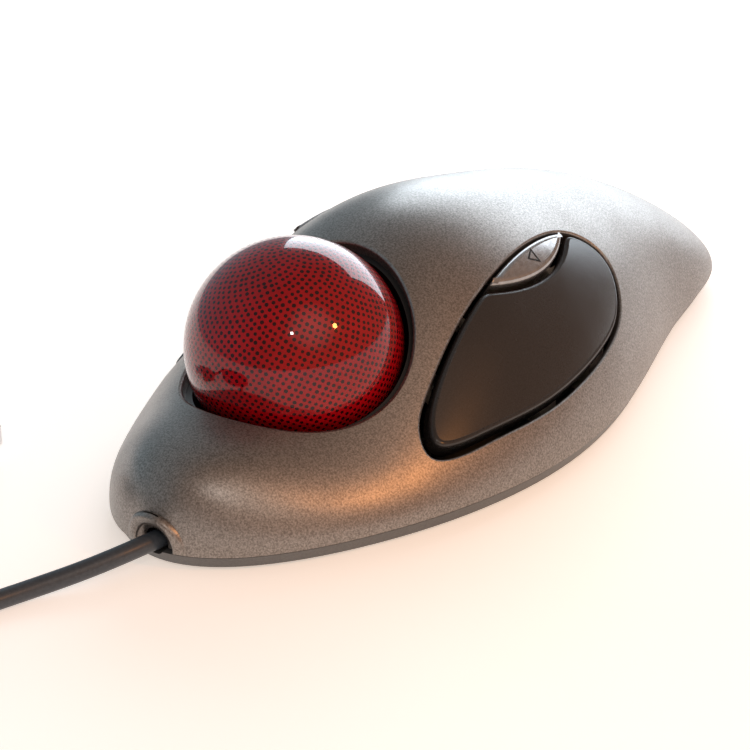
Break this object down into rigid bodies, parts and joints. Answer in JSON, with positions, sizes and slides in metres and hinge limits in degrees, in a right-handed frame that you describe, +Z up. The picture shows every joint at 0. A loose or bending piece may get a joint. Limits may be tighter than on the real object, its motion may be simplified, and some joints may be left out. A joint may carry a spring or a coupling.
{
  "type": "trackball mouse",
  "caption": "Symmetric wired desktop trackball mouse: dotted ball in a leaning cup, leaf-shaped sprung side buttons with a small button beside each, low tapering shell, cable with flat plug.",
  "frame": {"origin": "under the middle of the body, on the desk plane that the rubber feet stand on; the free cable, its coil and its plug are left out of this", "axes": "+Z up from the desk, +Y from the cable end (nose) to the palm end (tail), +X to the user's left"},
  "size_m": [0.1075, 0.2498, 0.0465],
  "materials": {
    "silver_paint": "silver-grey metallic paint, satin",
    "grey_base": "plain moulded grey, satin",
    "ball_red": "clear-coated deep red with a fine black dot pattern",
    "charcoal_plastic": "charcoal, semi-matte",
    "black_plastic": "black, matte",
    "bracket_plastic": "natural white, matte",
    "bearing_steel": "polished",
    "circuit_board": "green solder mask",
    "window_red": "dark red transparent",
    "plunger_red": "red, matte",
    "screw_steel": "zinc plated",
    "can_metal": "satin",
    "foot_rubber": "matte",
    "label_foil": "satin foil, blank",
    "cable_jacket": "dark blue-grey, satin",
    "plug_metal": "nickel plated",
    "contact_gold": "gold plated"
  },
  "bodies": {
    "casing": {"ball_cup": "black_plastic", "bearing_front": "bearing_steel", "bearing_left": "bearing_steel", "bearing_right": "bearing_steel", "board_resistors": "can_metal", "board_screws": "screw_steel", "bottom_case": "grey_base", "cable_coil": "cable_jacket", "cable_connector": "bracket_plastic", "cable_grommet": "foot_rubber", "cable_lead": "cable_jacket", "cable_tail": "cable_jacket", "capacitors": "can_metal", "case_screws": "screw_steel", "clock_crystal": "can_metal", "controller_chip": "black_plastic", "cup_screws": "screw_steel", "foot_front": "foot_rubber", "foot_left": "foot_rubber", "foot_rear": "foot_rubber", "foot_right": "foot_rubber", "infrared_leds": "black_plastic", "inner_lead": "cable_jacket", "left_button_pin": "screw_steel", "left_small_button_pin": "screw_steel", "left_small_switch": "black_plastic", "left_switch": "black_plastic", "left_switch_bracket": "bracket_plastic", "main_board": "circuit_board", "plug_contacts": "contact_gold", "plug_grip": "cable_jacket", "plug_shell": "plug_metal", "plug_tongue": "bracket_plastic", "rating_label": "label_foil", "right_button_pin": "screw_steel", "right_small_button_pin": "screw_steel", "right_small_switch": "black_plastic", "right_switch": "black_plastic", "right_switch_bracket": "bracket_plastic", "sensor_board": "circuit_board", "sensor_chip": "black_plastic", "sensor_screws": "screw_steel", "sensor_window": "window_red", "top_shell": "silver_paint"},
    "trackball": {"trackball": "ball_red"},
    "left_button": {"left_button": "charcoal_plastic"},
    "right_button": {"right_button": "charcoal_plastic"},
    "left_small_button": {"left_small_button": "silver_paint"},
    "right_small_button": {"right_small_button": "silver_paint"},
    "left_plunger": {"left_plunger": "plunger_red"},
    "right_plunger": {"right_plunger": "plunger_red"},
    "left_small_plunger": {"left_small_plunger": "plunger_red"},
    "right_small_plunger": {"right_small_plunger": "plunger_red"}
  },
  "joints": [
    {"name": "trackball_roll", "type": "hinge", "parent": "casing", "child": "trackball", "pos_m": [0, -0.0413, 0.0265], "axis": [1, 0, 0], "continuous": true},
    {"name": "left_button_press", "type": "hinge", "parent": "casing", "child": "left_button", "pos_m": [0.02069, 0.018, 0.01909], "axis": [0.8192, 0, -0.5736], "range_deg": [0, 1.2], "stiffness_Nm_per_rad": 0.8, "springref_deg": -0.09},
    {"name": "left_small_button_press", "type": "hinge", "parent": "casing", "child": "left_small_button", "pos_m": [0.01683, 0.0115, 0.02752], "axis": [0.8192, 0, -0.5736], "range_deg": [0, 3], "stiffness_Nm_per_rad": 0.2, "springref_deg": -0.03},
    {"name": "left_plunger_slide", "type": "slide", "parent": "casing", "child": "left_plunger", "axis": [-0.5736, 0, -0.8192], "range_m": [0, 0.0009], "stiffness_N_per_m": 0.02, "springref_m": -0.006},
    {"name": "left_small_plunger_slide", "type": "slide", "parent": "casing", "child": "left_small_plunger", "axis": [-0.5736, 0, -0.8192], "range_m": [0, 0.0009], "stiffness_N_per_m": 0.02, "springref_m": -0.006},
    {"name": "right_button_press", "type": "hinge", "parent": "casing", "child": "right_button", "pos_m": [-0.02069, 0.018, 0.01909], "axis": [0.8192, 0, 0.5736], "range_deg": [0, 1.2], "stiffness_Nm_per_rad": 0.8, "springref_deg": -0.09},
    {"name": "right_small_button_press", "type": "hinge", "parent": "casing", "child": "right_small_button", "pos_m": [-0.01683, 0.0115, 0.02752], "axis": [0.8192, 0, 0.5736], "range_deg": [0, 3], "stiffness_Nm_per_rad": 0.2, "springref_deg": -0.03},
    {"name": "right_plunger_slide", "type": "slide", "parent": "casing", "child": "right_plunger", "axis": [0.5736, 0, -0.8192], "range_m": [0, 0.0009], "stiffness_N_per_m": 0.02, "springref_m": -0.006},
    {"name": "right_small_plunger_slide", "type": "slide", "parent": "casing", "child": "right_small_plunger", "axis": [0.5736, 0, -0.8192], "range_m": [0, 0.0009], "stiffness_N_per_m": 0.02, "springref_m": -0.006}
  ],
  "couplings": [
    {"joint": "left_plunger_slide", "follows": "left_button_press", "m_per_rad": 0.04},
    {"joint": "left_small_plunger_slide", "follows": "left_small_button_press", "m_per_rad": 0.0135},
    {"joint": "right_plunger_slide", "follows": "right_button_press", "m_per_rad": 0.04},
    {"joint": "right_small_plunger_slide", "follows": "right_small_button_press", "m_per_rad": 0.0135}
  ]
}
